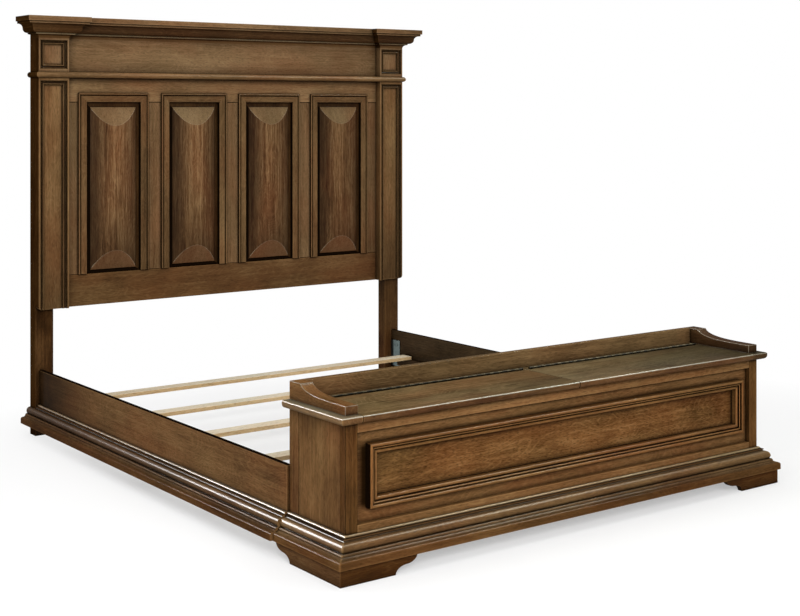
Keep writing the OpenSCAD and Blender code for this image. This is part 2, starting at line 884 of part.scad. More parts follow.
module bench_bottom() {
    z = foot_h + bottom_rise;
    d = bench_back - board_t - frame_back;
    half = bench_half - bstile_t;
    color(pale_wood) difference() {
        board(-side_inner, frame_back, z, 2 * side_inner, d, board_t);
        both_sides() board(half, bench_back - bstile_w, z - eps,
                           bstile_t, bstile_w, board_t + 2 * eps);
    }
}

module bench_divider() {
    d = bench_back - board_t - frame_back;
    color(pale_wood) board(-board_t / 2, frame_back, bottom_top,
                           board_t, d, carcass_top - divider_gap - bottom_top);
}

module bench_front_bands() {
    d = frame_back - bench_front;
    color(wood) {
        board(-bpost_inner, bench_front, band_bottom, 2 * bpost_inner, d, band_h);
        board(-bpost_inner, bench_front, foot_h, 2 * bpost_inner, d, strip_top - foot_h);
    }
}

module bench_front_frame() {
    h = band_bottom - strip_top;
    color(wood) difference() {
        board(-bpost_inner, frame_face, strip_top, 2 * bpost_inner, front_t, h);
        board(-front_open_half, frame_face - eps, front_open_low,
              2 * front_open_half, front_t + 2 * eps, front_open_top - front_open_low);
    }
}

module bench_front_panel() {
    color(wood) board(-front_open_half, frame_face + front_panel_set, front_open_low,
                      2 * front_open_half, front_panel_t, front_open_top - front_open_low);
}

module bolection_moulding() {
    half = front_open_half + bolection_w;
    color(dark_wood) translate([0, frame_face, 0])
        moulding_frame(-half, half, front_open_low - bolection_w, front_open_top + bolection_w,
                       bolection_w, bolection_h, true) bolection_profile();
}

module base_moulding_front() {
    color(dark_wood) translate([-bench_half, bench_front, foot_h])
        base_run(2 * bench_half, 1, 1);
}

module hinge_rail() {
    color(wood) board(-cap_inner, rail_edge, carcass_top,
                      2 * cap_inner, hinge_rail_d, top_t);
}

module gallery_back() {
    color(wood) board(-cap_inner, bench_back - gallery_t, bench_top,
                      2 * cap_inner, gallery_t, gallery_h);
}

headboard_post_left();
headboard_post_right();
pilaster_left();
pilaster_right();
pilaster_moulding_left();
pilaster_moulding_right();
frieze_board();
crown_center();
crown_left();
crown_right();
crown_cap_board();
astragal();
headboard_top_rail();
headboard_bottom_rail();
headboard_stiles();
raised_panel_1();
raised_panel_2();
raised_panel_3();
raised_panel_4();
panel_mouldings();
headboard_back();
side_rail_left();
side_rail_right();
rail_moulding_left();
rail_moulding_right();
slat_cleats();
slat_1();
slat_2();
slat_3();
slat_4();
slat_5();
rail_hook_plates();
hook_plate_screws();
bench_post_left();
bench_post_right();
bench_side_panels();
bench_back_stiles();
bench_back_panel();
bench_bottom();
bench_divider();
bench_front_bands();
bench_front_frame();
bench_front_panel();
bolection_moulding();
base_moulding_front();
base_moulding_left();
base_moulding_right();
foot_left();
foot_right();
end_cap_left();
end_cap_right();
hinge_rail();
gallery_back();
gallery_ends();
lid_left();
lid_right();
hinge_fixed_leaves();
hinge_leaf_left();
hinge_leaf_right();
hinge_pins();
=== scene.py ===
import math

import bmesh
import bpy
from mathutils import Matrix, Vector


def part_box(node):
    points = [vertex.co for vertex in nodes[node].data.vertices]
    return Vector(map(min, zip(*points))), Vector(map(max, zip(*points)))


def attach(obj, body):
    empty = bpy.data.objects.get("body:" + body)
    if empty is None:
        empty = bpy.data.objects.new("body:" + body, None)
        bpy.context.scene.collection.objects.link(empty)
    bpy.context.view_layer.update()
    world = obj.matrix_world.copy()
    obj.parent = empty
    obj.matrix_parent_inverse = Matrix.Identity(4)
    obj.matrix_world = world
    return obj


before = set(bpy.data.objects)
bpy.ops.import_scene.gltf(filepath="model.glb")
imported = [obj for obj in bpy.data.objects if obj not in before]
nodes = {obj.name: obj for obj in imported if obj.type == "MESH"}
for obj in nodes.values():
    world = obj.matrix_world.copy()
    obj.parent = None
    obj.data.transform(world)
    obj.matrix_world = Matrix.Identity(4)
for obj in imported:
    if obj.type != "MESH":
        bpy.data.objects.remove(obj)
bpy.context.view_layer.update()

scene = bpy.context.scene

# ---------------------------------------------------------------- camera
# Solved from the bed's straight edges in the 800 x 616 photograph. It looks level, so that
# uprights stay upright, and its shift brings the bed into the frame.
CAMERA_PLACE = (-3.4799, -4.8900, 1.4818)
CAMERA_TURN = -36.407

cam_data = bpy.data.cameras.new("camera")
cam_data.lens = 63.97
cam_data.sensor_width = 36.0
cam_data.shift_y = -0.2524
cam_data.clip_end = 200
camera = bpy.data.objects.new("camera", cam_data)
camera.location = CAMERA_PLACE
camera.rotation_euler = (math.radians(90), 0, math.radians(CAMERA_TURN))
scene.collection.objects.link(camera)
scene.camera = camera

# ---------------------------------------------------------------- lamps and world


def area_light(name, place, target, size, power, gloss_only=False, colour=(1, 1, 1)):
    """A soft box. One that is only for gloss draws the lines of light on the mouldings and
    lights nothing else."""
    data = bpy.data.lights.new(name, "AREA")
    data.shape = "RECTANGLE"
    data.size, data.size_y = size
    data.energy = power
    data.color = colour
    lamp = bpy.data.objects.new(name, data)
    lamp.location = place
    aim = Vector(target) - Vector(place)
    lamp.rotation_euler = aim.to_track_quat("-Z", "Y").to_euler()
    lamp.visible_diffuse = not gloss_only
    scene.collection.objects.link(lamp)


PALE_GREEN = (0.93, 1.0, 0.87)
area_light("front", (-4.6, -9.5, 5.2), (0, 0, 0.9), (5.0, 4.0), 880)
area_light("top", (-0.2, -0.7, 4.8), (0, -0.5, 0), (4.6, 4.4), 110)
area_light("left", (-4.8, -3.6, 1.9), (-0.8, -0.6, 0.3), (2.0, 1.4), 85)
area_light("streak_left", (-3.05, 2.9, 2.2), (-1.05, -0.8, 0.1), (1.0, 2.0), 1250,
           gloss_only=True)
area_light("streak_front", (2.4, -1.6, 3.6), (-0.2, -1.25, 0.4), (3.4, 1.8), 1400,
           gloss_only=True, colour=PALE_GREEN)

# The world lights the bed dimly, and looks white where it is seen or mirrored.
WORLD_LIGHT, WORLD_SEEN = 0.3, 1.0
world = bpy.data.worlds.new("studio")
scene.world = world
world.use_nodes = True
wt = world.node_tree
wt.nodes.clear()
world_mix = wt.nodes.new("ShaderNodeMixShader")
for socket, strength in ((1, WORLD_LIGHT), (2, WORLD_SEEN)):
    background = wt.nodes.new("ShaderNodeBackground")
    background.inputs["Color"].default_value = (1, 1, 1, 1)
    background.inputs["Strength"].default_value = strength
    wt.links.new(background.outputs[0], world_mix.inputs[socket])
rays = wt.nodes.new("ShaderNodeLightPath").outputs
seen = rays["Is Camera Ray"]
for ray in ("Is Glossy Ray", "Is Transmission Ray"):
    either = wt.nodes.new("ShaderNodeMath")
    either.operation = "MAXIMUM"
    wt.links.new(seen, either.inputs[0])
    wt.links.new(rays[ray], either.inputs[1])
    seen = either.outputs[0]
wt.links.new(seen, world_mix.inputs["Fac"])
world_out = wt.nodes.new("ShaderNodeOutputWorld")
wt.links.new(world_mix.outputs[0], world_out.inputs["Surface"])

# ---------------------------------------------------------------- shader nodes


def rgb(r, g, b):
    """A colour given as it looks on screen, 0 to 255."""
    def lin(v):
        v = v / 255
        return v / 12.92 if v <= 0.04045 else ((v + 0.055) / 1.055) ** 2.4
    return (lin(r), lin(g), lin(b), 1)


def times(k, colour):
    """A screen colour k times as bright."""
    return tuple(min(255, k * v) for v in colour)


BUMP_STRENGTH = 0.2


class Tree:
    """Short names for the shader nodes that the materials use."""

    def __init__(self, mat):
        mat.use_nodes = True
        self.t = mat.node_tree
        self.bsdf = self.t.nodes["Principled BSDF"]

    def link(self, a, b):
        self.t.links.new(a, b)

    def value(self, socket, v):
        """Sets a socket to a plain value, or links it to an output."""
        if hasattr(v, "is_output"):
            self.link(v, socket)
        else:
            socket.default_value = v

    def shader(self, **values):
        """Sets the shader's own sockets, named with _ for each space."""
        for name, v in values.items():
            self.value(self.bsdf.inputs[name.replace("_", " ")], v)

    def node(self, kind, output=0):
        return self.t.nodes.new(kind).outputs[output]

    def math(self, op, a, b=0.0, c=None, clamp=False):
        n = self.t.nodes.new("ShaderNodeMath")
        n.operation = op
        n.use_clamp = clamp
        for i, v in enumerate((a, b) if c is None else (a, b, c)):
            self.value(n.inputs[i], v)
        return n.outputs[0]

    def vector(self, op, a, b=(0, 0, 0)):
        n = self.t.nodes.new("ShaderNodeVectorMath")
        n.operation = op
        self.value(n.inputs[0], a)
        self.value(n.inputs[1], b)
        return n.outputs["Value" if op in ("LENGTH", "DOT_PRODUCT") else "Vector"]

    def axes(self, vector):
        """The three numbers of a vector."""
        n = self.t.nodes.new("ShaderNodeSeparateXYZ")
        self.link(vector, n.inputs[0])
        return n.outputs

    def noise(self, vector, scale, detail=2.0, rough=0.5, distortion=0.0):
        """Noise, 0 to 1. scale is one number, or three for a stretched pattern."""
        m = self.t.nodes.new("ShaderNodeMapping")
        m.inputs["Scale"].default_value = scale if isinstance(scale, tuple) else (scale,) * 3
        self.link(vector, m.inputs["Vector"])
        n = self.t.nodes.new("ShaderNodeTexNoise")
        self.link(m.outputs[0], n.inputs["Vector"])
        n.inputs["Scale"].default_value = 1.0
        n.inputs["Detail"].default_value = detail
        n.inputs["Roughness"].default_value = rough
        n.inputs["Distortion"].default_value = distortion
        return n.outputs["Fac"]

    def ramp(self, fac, stops):
        """A colour ramp. Its stops are (position, number or colour)."""
        n = self.t.nodes.new("ShaderNodeValToRGB")
        self.link(fac, n.inputs[0])
        els = n.color_ramp.elements
        while len(els) < len(stops):
            els.new(0.5)
        for e, (p, c) in zip(els, stops):
            e.position = p
            e.color = (c, c, c, 1) if isinstance(c, (int, float)) else c
        return n.outputs[0]

    def span(self, x, start, end, strength=1.0):
        """Rises from 0 at start to strength at end, and stays there."""
        n = self.t.nodes.new("ShaderNodeMapRange")
        self.link(x, n.inputs[0])
        for i, v in enumerate((start, end, 0.0, strength)):
            n.inputs[i + 1].default_value = v
        return n.outputs[0]

    def centred(self, x, k):
        """k times a pattern of 0 to 1, moved so that its middle is 0."""
        return self.math("MULTIPLY_ADD", x, k, -0.5 * k)

    def mix(self, fac, a, b):
        """Mixes two colours, which are the node's sockets 6 and 7 in and 2 out."""
        n = self.t.nodes.new("ShaderNodeMix")
        n.data_type = "RGBA"
        self.value(n.inputs[0], fac)
        self.value(n.inputs[6], a)
        self.value(n.inputs[7], b)
        return n.outputs[2]

    def occlusion(self, mm, samples=5, inside=False):
        """Falls in the corners of the piece, or with inside on its proud edges."""
        n = self.t.nodes.new("ShaderNodeAmbientOcclusion")
        n.samples = samples
        n.inside = n.only_local = inside
        n.inputs["Distance"].default_value = mm / 1000
        return n.outputs["AO"]

    def bump(self, height, distance):
        """Bumps the surface by a pattern that is distance metres high."""
        n = self.t.nodes.new("ShaderNodeBump")
        n.inputs["Strength"].default_value = BUMP_STRENGTH
        n.inputs["Distance"].default_value = distance
        self.link(height, n.inputs["Height"])
        self.link(n.outputs[0], self.bsdf.inputs["Normal"])


# ---------------------------------------------------------------- timber: stains, painted light and shade
# Umber glaze that is also painted shade, darkest in corners and recesses
UMBER_AND_SHADE = (16, 9, 3)
# Painted shade beside a moulding
SHADE_BESIDE = (20, 10, 2)
# Painted shade in the gap beside a raised panel's field, and a painted highlight on its arris
GAP_SHADE = (16, 9, 4)
ARRIS_HIGHLIGHT = (176, 160, 134)
RED_PATCH, GREEN_PATCH = (1.1, 0.88, 0.8), (0.86, 0.98, 0.98)   # times the middle stain
PORE, DEEP, RUBBED_AND_HIGHLIGHT = 0.4, 0.5, 1.2      # times the darkest colour, the same for the darker tone and painted shade, the lightest for wear and painted highlight
PIECE_SHIFT = (7.0, 13.0, 19.0)         # moves the figure, so that no two pieces share one
RING_PHASE = 170.0                      # how many rings the growth field is cut into
OPEN = 0.97                             # occlusion from which a place is out of a corner
# Proud edges rubbed pale: wear and a painted highlight
WEAR_AND_HIGHLIGHT_MM, WEAR_AND_HIGHLIGHT_SAMPLES = 5, 4
WIDE_GLAZE_AND_SHADE = (0.35, 0.85)               # occlusion, and the strength there of the wide glaze and painted shade
FULL_GLAZE_AND_SHADE = 0.95
RIGHT_FLANK = 0.22                      # painted shade: the right flank is painted less dark than the left
# The painted shade beside a moulding starts this far from it and is full this close to it,
# and it ends this far above and below the moulding, from this far within
BESIDE_START, BESIDE_FULL = 0.044, 0.012
ABOVE_END, ABOVE_FULL = 0.012, 0.014
BESIDE_STRENGTH = 0.93
# How far a softened normal agrees with the face's own, and the painted highlight line's
# strength there
ARRIS_LINE = [(0.984, 0.95), (0.998, 0.0)]
ARRIS_CLEAR = 0.006                     # the line stays this far inside the field
GAP_INSIDE, GAP_OUTSIDE = 0.003, 0.001  # the gap's painted shade spreads over these, at the field's edge


def grain(axis, along, across):
    """A pattern's scale, in cycles per metre along the grain and across it."""
    return tuple(along if a == axis else across for a in "XYZ")


def darker_tone(t, at, normal, uneven, flanks, fades):
    """How much darker the tone gets: painted shade on a bowed face's flanks, the left one
    more than the right, and a darkening along each fade, which is (axis, from, to, strength)."""
    deep = 0.0
    if flanks:
        nx = t.axes(normal)[0]
        lean = t.math("MULTIPLY_ADD", nx, -RIGHT_FLANK, t.math("ABSOLUTE", nx))
        deep = t.ramp(lean, [(0.1, 0.0), (0.5, flanks)])
        deep = t.math("MULTIPLY", deep, uneven, clamp=True)
    for axis, start, end, strength in fades:
        fade = t.span(at["XYZ".index(axis)], start, end, strength)
        deep = t.math("MAXIMUM", t.math("MULTIPLY", fade, uneven), deep, clamp=True)
    return deep


def shade_beside_moulding(t, at, half_wide, mid_z, half_tall):
    """How far a place lies in the painted shade at the two sides of a moulding, over its
    height.
    """
    beside = t.span(t.math("ABSOLUTE", at[0]), half_wide + BESIDE_START,
                    half_wide + BESIDE_FULL)
    off_mid = t.math("ABSOLUTE", t.math("SUBTRACT", at[2], mid_z))
    level = t.span(off_mid, half_tall + ABOVE_END, half_tall - ABOVE_FULL, BESIDE_STRENGTH)
    return t.math("MULTIPLY", beside, level, clamp=True)


def draw_arris(t, colour, at, uneven, radius, pitch, half_wide, mid_z, half_tall):
    """Paints a highlight line where a raised panel's bow meets its sloped ends, and painted
    shade in the gap beside its field. The panels repeat at pitch along X."""
    soft = t.t.nodes.new("ShaderNodeBevel")
    soft.samples = 6
    soft.inputs["Radius"].default_value = radius
    plain = t.node("ShaderNodeNewGeometry", "True Normal")
    turn = t.vector("DOT_PRODUCT", soft.outputs[0], plain)
    line = t.ramp(turn, ARRIS_LINE)
    across = t.math("SUBTRACT", t.math("FRACT", t.math("DIVIDE", at[0], pitch)), 0.5)
    across = t.math("ABSOLUTE", across)
    up = t.math("ABSOLUTE", t.math("SUBTRACT", at[2], mid_z))
    inside = t.math("LESS_THAN", across, (half_wide - ARRIS_CLEAR) / pitch)
    line = t.math("MULTIPLY", line, inside)
    line = t.math("MULTIPLY", line, t.math("LESS_THAN", up, half_tall - ARRIS_CLEAR))
    line = t.math("MULTIPLY", line, uneven, clamp=True)
    colour = t.mix(line, colour, rgb(*ARRIS_HIGHLIGHT))
    gap = t.span(across, (half_wide - GAP_INSIDE) / pitch, (half_wide + GAP_OUTSIDE) / pitch,
                 0.95)
    return t.mix(gap, colour, rgb(*GAP_SHADE))


def wood(name, axis, palette, red=None, drift=0.8, mottle=0.6, figure=0.35, fibre=0.6,
         speckle=14.0, pores=0.5, flanks=0.0, fades=(), hollow=None, wear_and_highlight=0.45, arris=None,
         glaze_shade_colour=UMBER_AND_SHADE, glaze_shade_strength=1.0, line_mm=11, near_full=0.58, wide_mm=60, rough=0.55,
         coat=0.04, sheen=0.2):
    """Timber with its grain along one axis, in its darkest, middle and lightest colour: a stain
    in most finishes, painted light or shade in some. It is made in this order:
    - drift, mottle, figure, fibre and pores are how strong the slow tone, the blots, the
      growth rings, the fibre and the pores are. speckle is how short the fine fibre is, and
      red is the colour of the warm patches.
    - flanks paints shade on a bowed face's flanks, fades darken the tone along an axis, and
      hollow paints shade beside a moulding: see the functions above.
    - the proud edges are rubbed pale, wear and a painted highlight, at a strength of their
      own, and arris is what draw_arris needs.
    - an umber glaze that is also painted shade, of its own colour and strength, stays dark
      in corners of line_mm and fades out of them over wide_mm. near_full is the occlusion at
      which it is full.
    - rough is the timber's own gloss, under a coat of wax with the roughness sheen."""
    mat = bpy.data.materials.new(name)
    t = Tree(mat)
    dark, mid, light = palette
    red = red or tuple(k * v for k, v in zip(RED_PATCH, mid))
    green = tuple(k * v for k, v in zip(GREEN_PATCH, mid))
    coord = t.t.nodes.new("ShaderNodeTexCoord").outputs
    at = t.axes(coord["Object"])
    piece = t.node("ShaderNodeObjectInfo", "Random")
    shift = t.t.nodes.new("ShaderNodeCombineXYZ")
    for i, k in enumerate(PIECE_SHIFT):
        t.link(t.math("MULTIPLY", piece, k), shift.inputs[i])
    p = t.vector("ADD", coord["Object"], shift.outputs[0])

    # The patterns, from the slowest to the finest: each has its cycles per metre along the
    # grain and across it, then the noise's detail, roughness and distortion
    slow = t.noise(p, grain(axis, 1.1, 5.0), 2.0)
    warm = t.noise(p, grain(axis, 2.6, 5.5), 2.0)
    blot = t.noise(p, grain(axis, 5.0, 9.0), 3.0, 0.6)
    field = t.noise(p, grain(axis, 2.2, 9.0), 1.5, 0.5, 0.5)
    rings = t.math("SINE", t.math("MULTIPLY", field, RING_PHASE))
    rings = t.ramp(rings, [(0.35, 0.0), (1.0, 1.0)])
    streak = t.noise(p, grain(axis, 2.0, 75.0), 3.0, 0.6)
    fine = t.noise(p, grain(axis, speckle, 330.0), 2.0, 0.65)
    dash = t.noise(p, grain(axis, 60.0, 380.0), 1.0, 0.4)
    uneven = t.math("MULTIPLY_ADD", blot, 0.9, 0.45)

    # The colour: a tone of 0 to 1 picks between the darkest and the lightest
    tone = t.math("ADD", t.centred(slow, drift), t.centred(blot, 1.1 * mottle))
    tone = t.math("ADD", tone, t.centred(streak, fibre))
    tone = t.math("ADD", tone, t.centred(fine, 1.1 * fibre))
    tone = t.math("ADD", tone, t.math("MULTIPLY_ADD", rings, 0.3 * figure, -0.1 * figure))
    tone = t.math("ADD", tone, t.centred(piece, 0.10))
    tone = t.math("ADD", tone, 0.5, clamp=True)
    colour = t.ramp(tone, [(0.1, rgb(*dark)), (0.5, rgb(*mid)), (0.9, rgb(*light))])
    colour = t.mix(t.ramp(warm, [(0.47, 0.0), (0.72, 0.3)]), colour, rgb(*red))
    colour = t.mix(t.ramp(warm, [(0.28, 0.25), (0.5, 0.0)]), colour, rgb(*green))
    hole = t.ramp(dash, [(0.55, 0.0), (0.66, 1.0)])
    colour = t.mix(t.math("MULTIPLY", hole, 0.6 * pores), colour, rgb(*times(PORE, dark)))
    if flanks or fades:
        deep = darker_tone(t, at, coord["Normal"], uneven, flanks, fades)
        colour = t.mix(deep, colour, rgb(*times(DEEP, dark)))
    if hollow:
        colour = t.mix(shade_beside_moulding(t, at, *hollow), colour, rgb(*SHADE_BESIDE))

    # Wear and a painted highlight on the proud edges
    if wear_and_highlight:
        rub_and_highlight = t.occlusion(WEAR_AND_HIGHLIGHT_MM, WEAR_AND_HIGHLIGHT_SAMPLES, inside=True)
        rub_and_highlight = t.ramp(rub_and_highlight, [(0.5, wear_and_highlight), (0.86, 0.0)])
        rub_and_highlight = t.math("MULTIPLY", rub_and_highlight, uneven, clamp=True)
        colour = t.mix(rub_and_highlight, colour, rgb(*times(RUBBED_AND_HIGHLIGHT, light)))
    if arris:
        colour = draw_arris(t, colour, at, uneven, *arris)

    # The umber glaze and painted shade: a dark line in each corner, where shade falls, and a
    # wide soft edge to it
    near = t.ramp(t.occlusion(line_mm), [(near_full, 1.0), (OPEN, 0.0)])
    wide = t.ramp(t.occlusion(wide_mm), [WIDE_GLAZE_AND_SHADE, (OPEN, 0.0)])
    shade = t.math("MAXIMUM", near, t.math("MULTIPLY", wide, uneven))
    shade = t.math("MULTIPLY", shade, FULL_GLAZE_AND_SHADE * glaze_shade_strength, clamp=True)
    gloss = t.math("ADD", t.centred(fine, 0.1), rough)
    t.shader(Base_Color=t.mix(shade, colour, rgb(*glaze_shade_colour)),
             Roughness=t.math("ADD", gloss, t.math("MULTIPLY", shade, 0.2), clamp=True),
             Specular_IOR_Level=0.0, Coat_Weight=coat, Coat_Roughness=sheen)
    relief = t.math("SUBTRACT", t.math("MULTIPLY", fine, 0.6), t.math("MULTIPLY", hole, 0.8))
    t.bump(relief, 0.0003)
    return mat


def metal(name, colour, rough, spots):
    """Brushed metal with dull spots, and dark in its corners."""
    mat = bpy.data.materials.new(name)
    t = Tree(mat)
    coord = t.node("ShaderNodeTexCoord", "Object")
    blot = t.noise(coord, 45.0, 3.0)
    line = t.noise(coord, (30.0, 900.0, 900.0), 2.0)
    corner = t.ramp(t.occlusion(5), [(0.4, 1.0), (0.95, 0.0)])
    base = t.mix(t.math("MULTIPLY", blot, spots), rgb(*colour), rgb(*times(0.5, colour)))
    t.shader(Base_Color=t.mix(corner, base, rgb(*times(0.2, colour))),
             Roughness=t.math("MULTIPLY_ADD", line, 0.2, rough), Metallic=1.0)
    t.bump(line, 0.0002)
    return mat


# ---------------------------------------------------------------- floor
# White paper that keeps the bed's shadow near it and fades into the white beyond. It lights
# the bed as a greyer paper would, so that undersides stay dark.
FLOOR_HALF = 14.0
PAPER = ((0.93, 0.93, 0.93, 1), (0.95, 0.95, 0.95, 1))
PAPER_LIGHT = (0.45, 0.45, 0.45, 1)
FADE_SHIFT = (0, 0.9, 0)            # the fade runs round a point by the bench, y = -0.9
FADE_FROM, FADE_TO, FADE_REACH = 1.5, 2.9, 10.0
FADE_START = 0.42                   # how white the paper already is up to FADE_FROM
corners = [(-FLOOR_HALF, -FLOOR_HALF, 0), (FLOOR_HALF, -FLOOR_HALF, 0),
           (FLOOR_HALF, FLOOR_HALF, 0), (-FLOOR_HALF, FLOOR_HALF, 0)]
floor_mesh = bpy.data.meshes.new("floor")
floor_mesh.from_pydata(corners, [], [(0, 1, 2, 3)])
floor = bpy.data.objects.new("floor", floor_mesh)
scene.collection.objects.link(floor)
floor_mat = bpy.data.materials.new("floor")
ft = Tree(floor_mat)
place = ft.node("ShaderNodeTexCoord", "Object")
rays = ft.t.nodes.new("ShaderNodeLightPath").outputs
seen = ft.math("MAXIMUM", rays["Is Camera Ray"], rays["Is Glossy Ray"])
paper = ft.mix(ft.noise(place, 3.0, 4.0), *PAPER)
ft.shader(Base_Color=ft.mix(seen, PAPER_LIGHT, paper), Roughness=0.8, Specular_IOR_Level=0.1)
distance = ft.vector("LENGTH", ft.vector("ADD", place, FADE_SHIFT))
away = ft.ramp(ft.math("MULTIPLY", distance, 1 / FADE_REACH),
               [(FADE_FROM / FADE_REACH, FADE_START), (FADE_TO / FADE_REACH, 1.0)])
blend = ft.t.nodes.new("ShaderNodeMixShader")
ft.link(ft.math("MULTIPLY", away, seen), blend.inputs[0])
ft.link(ft.bsdf.outputs[0], blend.inputs[1])
ft.link(ft.node("ShaderNodeEmission"), blend.inputs[2])
ft.link(blend.outputs[0], ft.t.nodes["Material Output"].inputs["Surface"])
floor_mesh.materials.append(floor_mat)

# ---------------------------------------------------------------- places on the bed
# Read from the frame. The fades and the choice of faces follow them.
NEAR = 0.001        # a face this close to a plane belongs to it
POST_SKIN = 0.02    # faces this close to a post's outer side belong to it
post_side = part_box("headboard_post_right")[1].x - POST_SKIN
block_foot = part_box("astragal")[1].z
stile_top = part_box("headboard_stiles")[1].z
crown_foot, crown_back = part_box("crown_center")[0].z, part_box("crown_center")[1].y
head_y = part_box("side_rail_left")[1].y
inner_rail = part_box("side_rail_right")[0].x + NEAR
base_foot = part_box("base_moulding_front")[0].z
bench_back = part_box("base_moulding_left")[1].y - NEAR
front_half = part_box("bench_front_panel")[1].x
bolt_lo, bolt_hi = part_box("bolection_moulding")

# Each raised panel is a bowed field on a board whose rim is 20 mm wide, 16 below, 23 above.
RIM_SIDE, RIM_BELOW, RIM_ABOVE = 0.020, 0.016, 0.023
panel_lo, panel_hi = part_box("raised_panel_1")
rim_y = panel_hi.y - 0.0155         # the rim's own depth; the bow lies in front of it
panel_2_x, panel_3_x = [(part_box(n)[0].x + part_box(n)[1].x) / 2
                        for n in ("raised_panel_2", "raised_panel_3")]
panel_pitch = panel_3_x - panel_2_x
field_half = (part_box("raised_panel_3")[1].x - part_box("raised_panel_3")[0].x) / 2 - RIM_SIDE
field_lo, field_hi = panel_lo.z + RIM_BELOW, panel_hi.z - RIM_ABOVE
ARRIS_RADIUS = 0.0036
field_arris = (ARRIS_RADIUS, panel_pitch, field_half, (field_lo + field_hi) / 2,
               (field_hi - field_lo) / 2)

# ---------------------------------------------------------------- the bed's finishes
TONES = {
    # tone: darkest, middle and lightest colour; most are stains, those marked are painted light
    # or shade
    # Headboard
    "head": ((76, 54, 33), (111, 85, 57), (136, 109, 77)),
    "low": ((60, 40, 22), (90, 64, 38), (116, 88, 56)),
    "board": ((50, 34, 19), (84, 61, 38), (110, 84, 55)),
    "pilaster": ((70, 49, 27), (107, 79, 49), (132, 103, 68)),
    # post: the dark tone of the headboard's outer sides and returns, painted shade
    "post": ((29, 16, 6), (59, 37, 15), (86, 58, 29)),
    # leg: the left post's front, darker than the right's as painted shade; it also paints light
    # on the lit part of a raised panel's rim
    "leg": ((32, 19, 8), (58, 37, 18), (84, 58, 32)),
    "leg_right": ((46, 29, 14), (78, 53, 29), (104, 76, 46)),
    "panel": ((60, 36, 20), (104, 74, 47), (138, 108, 74)),
    # painted light: the sloped ends of a raised panel take lighter tones than its bow
    "smile": ((84, 60, 38), (109, 87, 60), (131, 109, 79)),
    "smile_low": ((92, 58, 36), (118, 84, 56), (140, 104, 74)),
    # painted shade: the crown's cove and cyma under its cap, darker still on the left, and the
    # front base moulding's neck
    "cyma": ((40, 24, 12), (71, 48, 28), (101, 74, 46)),
    "cyma_left": ((36, 20, 9), (63, 41, 21), (90, 63, 36)),
    "low_mould": ((58, 40, 23), (96, 71, 45), (124, 97, 64)),
    "half_round": ((66, 45, 25), (109, 81, 52), (138, 107, 71)),
    # Dark joints, and painted shade: the walls and undersides of mouldings and the floors of
    # recesses
    "seam": ((9, 5, 2), (20, 11, 5), (32, 20, 11)),
    # Rails, slats and base mouldings
    "rail": ((72, 48, 26), (113, 81, 49), (140, 107, 68)),
    "dark_rail": ((32, 23, 13), (54, 41, 26), (74, 58, 39)),
    "rail_end": ((70, 48, 27), (104, 76, 46), (130, 100, 64)),
    "mould_rail": ((58, 39, 21), (98, 71, 43), (128, 99, 62)),
    "mould": ((66, 45, 25), (104, 77, 48), (134, 105, 68)),
    # quirk: painted shade in the neck and under the rolls of the side base mouldings
    "quirk": ((26, 16, 7), (46, 30, 15), (64, 45, 25)),
    # bead: a pale tone, painted highlight on the beads and the crown's fillet
    "bead": ((100, 80, 52), (136, 112, 78), (164, 140, 104)),
    "plinth": ((50, 30, 14), (84, 56, 29), (112, 80, 46)),
    "slat": ((196, 178, 146), (218, 204, 178), (232, 222, 202)),
    "slat_edge": ((150, 120, 80), (186, 156, 114), (206, 180, 140)),
    # Bench, from its body to its top
    "bench": ((66, 42, 19), (108, 75, 41), (138, 103, 63)),
    "side": ((72, 46, 23), (114, 81, 48), (144, 109, 69)),
    "corner": ((58, 35, 15), (96, 65, 33), (124, 90, 51)),
    "foot": ((44, 25, 10), (76, 46, 20), (102, 70, 36)),
    # foot_side: the feet's sides lighter than their fronts, painted light
    "foot_side": ((56, 36, 18), (94, 66, 38), (120, 90, 56)),
    "bolt": ((70, 43, 20), (116, 80, 44), (146, 108, 64)),
    "inside": ((112, 84, 54), (142, 111, 75), (166, 134, 96)),
    "gallery": ((62, 44, 24), (106, 82, 53), (134, 107, 72)),
    "top": ((66, 50, 29), (117, 95, 63), (142, 119, 83)),
    "top_right": ((62, 51, 33), (105, 89, 61), (129, 112, 81)),
    # cap: a greyish pale top, painted sheen
    "cap": ((70, 60, 42), (106, 93, 70), (130, 118, 94)),
    "cap_right": ((38, 32, 21), (62, 54, 38), (82, 73, 54)),
    "nose": ((62, 39, 20), (98, 69, 41), (124, 94, 60)),
    "nose_dark": ((40, 27, 14), (68, 48, 28), (92, 70, 44)),
    # lip: a pale tone on a nosing's upper round, painted highlight, duller on the right
    "lip": ((112, 105, 90), (148, 141, 124), (174, 167, 150)),
    "lip_dark": ((84, 76, 62), (116, 106, 90), (140, 130, 112)),
}
# sunk is mould darkened for the pilaster moulding's slopes in shade: painted shade
for tone, like, k in (("sunk", "mould", 0.8), ("top_rail", "head", 1.1), ("band", "side", 1),
                      ("frame", "side", 1), ("panel_figure", "bench", 1.06)):
    TONES[tone] = [times(k, swatch) for swatch in TONES[like]]

